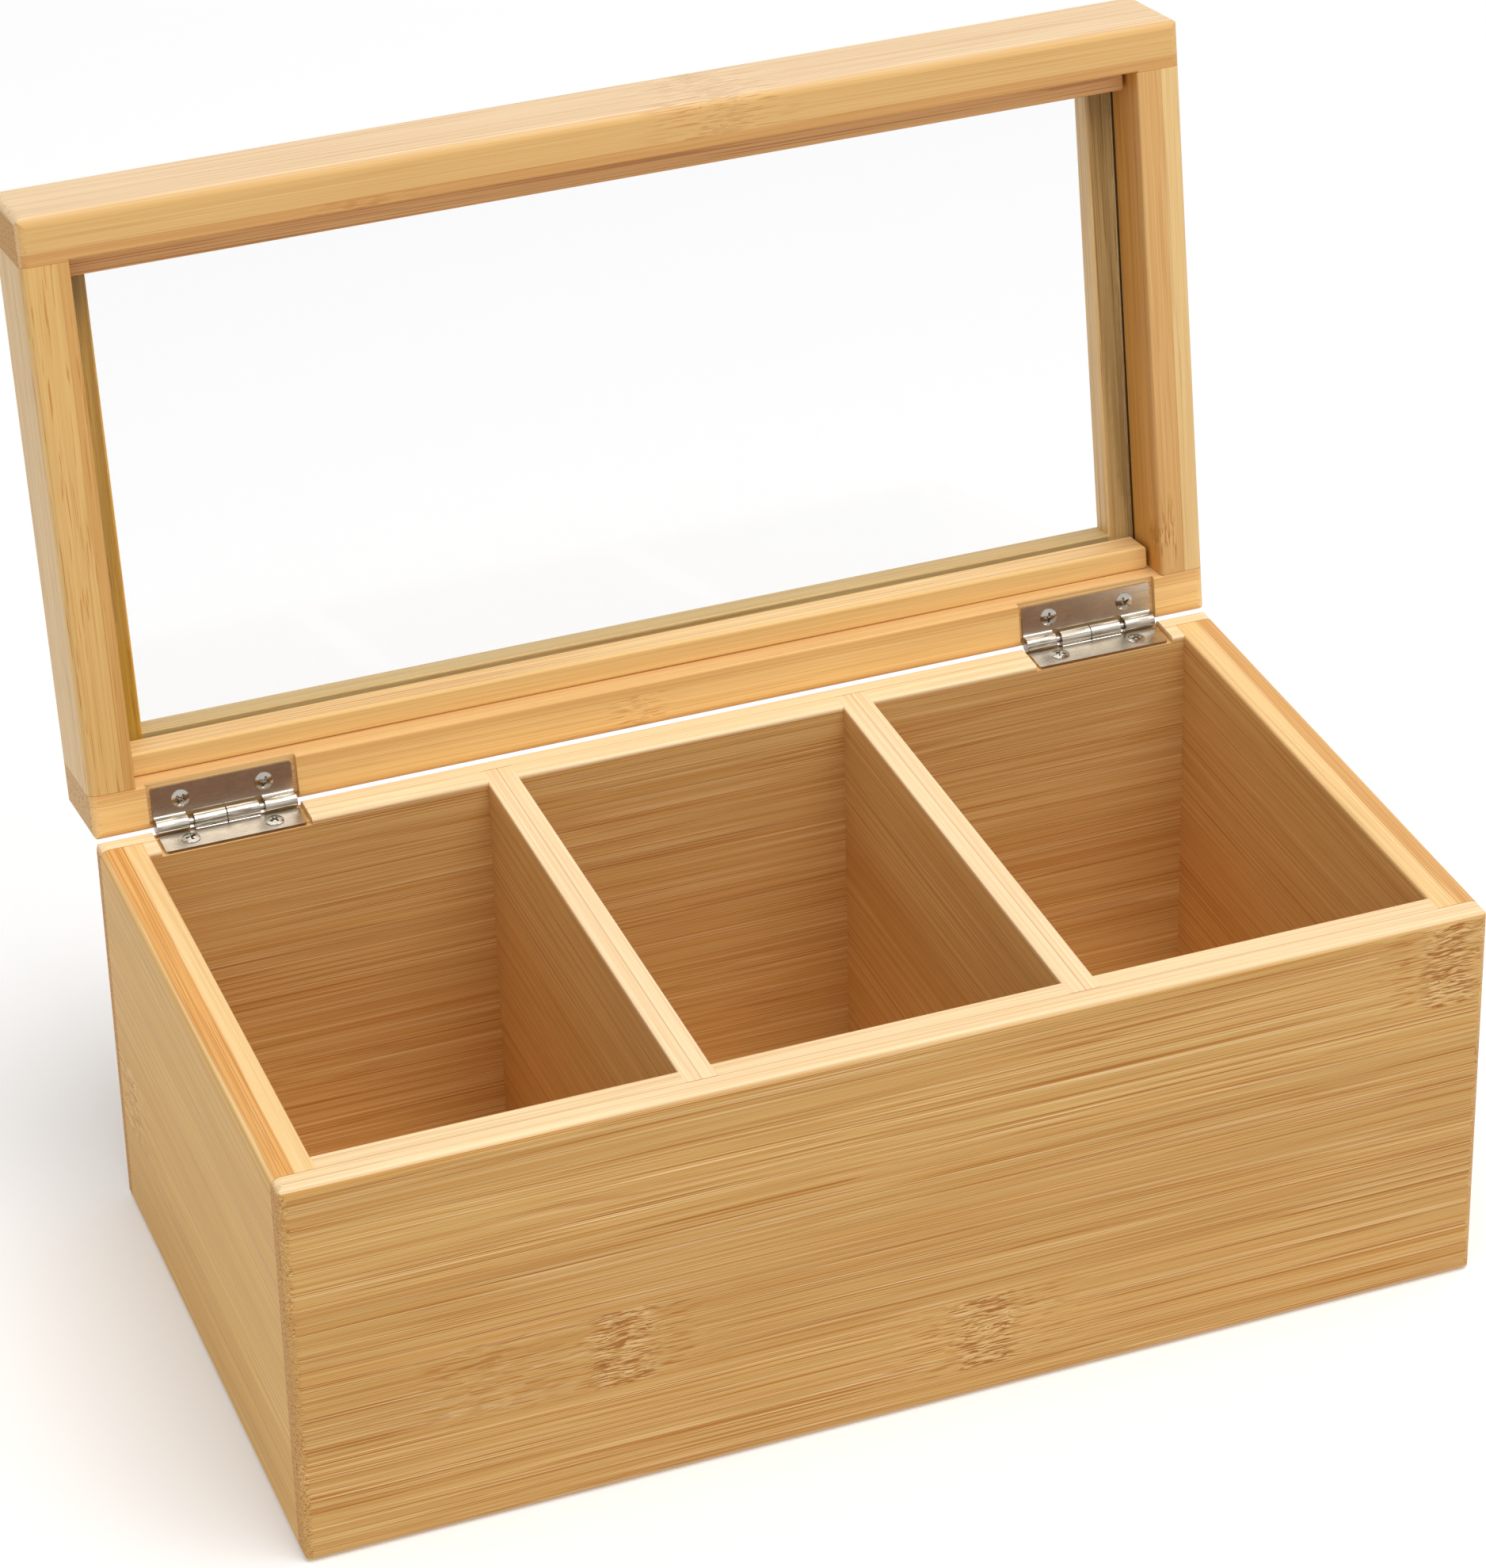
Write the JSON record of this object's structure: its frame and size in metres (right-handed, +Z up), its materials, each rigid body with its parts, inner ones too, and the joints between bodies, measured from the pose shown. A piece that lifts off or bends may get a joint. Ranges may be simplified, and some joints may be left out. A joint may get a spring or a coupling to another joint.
{
  "type": "tea bag organizer box",
  "caption": "Bamboo tea bag organizer box with fixed dividers, open compartments and a glazed lid that holds itself open on nickel-plated butt hinges.",
  "frame": {"origin": "middle of the underside, on the plane that the box rests on", "axes": "+X along the length to the right, +Y to the hinged back, +Z up; the lid is shown held open as in the picture"},
  "size_m": [0.3, 0.2102, 0.2625],
  "materials": {
    "bamboo_long_walls": "satin lacquered flat-pressed bamboo, grain along the length",
    "bamboo_side_walls": "satin lacquered bamboo, grain front to back",
    "bamboo_bottom": "satin bamboo sheet, grain along the length",
    "bamboo_dividers": "satin lacquered bamboo, grain front to back",
    "bamboo_rails": "satin lacquered two-layer bamboo, grain along the length",
    "bamboo_stiles": "satin lacquered bamboo, grain along the stile",
    "bamboo_beads": "satin bamboo strip, grain along the length",
    "clear_glass": "clear polished sheet with faintly green edges",
    "nickel_leaf": "bright nickel plate",
    "nickel_pin": "drawn steel wire",
    "nickel_screw": "bright nickel plate"
  },
  "bodies": {
    "box": {"front_wall": "bamboo_long_walls", "back_wall": "bamboo_long_walls", "left_wall": "bamboo_side_walls", "right_wall": "bamboo_side_walls", "bottom_panel": "bamboo_bottom", "left_divider": "bamboo_dividers", "right_divider": "bamboo_dividers", "left_hinge_box_leaf": "nickel_leaf", "left_hinge_pin": "nickel_pin", "left_hinge_box_screws": "nickel_screw", "right_hinge_box_leaf": "nickel_leaf", "right_hinge_pin": "nickel_pin", "right_hinge_box_screws": "nickel_screw"},
    "lid": {"lid_front_rail": "bamboo_rails", "lid_back_rail": "bamboo_rails", "lid_left_stile": "bamboo_stiles", "lid_right_stile": "bamboo_stiles", "glass_panel": "clear_glass", "lid_front_bead": "bamboo_beads", "lid_back_bead": "bamboo_beads", "left_hinge_lid_leaf": "nickel_leaf", "left_hinge_lid_screws": "nickel_screw", "right_hinge_lid_leaf": "nickel_leaf", "right_hinge_lid_screws": "nickel_screw"}
  },
  "joints": [
    {"name": "lid_hinge", "type": "hinge", "parent": "box", "child": "lid", "pos_m": [0, 0.0793, 0.1053], "axis": [1, 0, 0], "range_deg": [0, 98.4]}
  ]
}
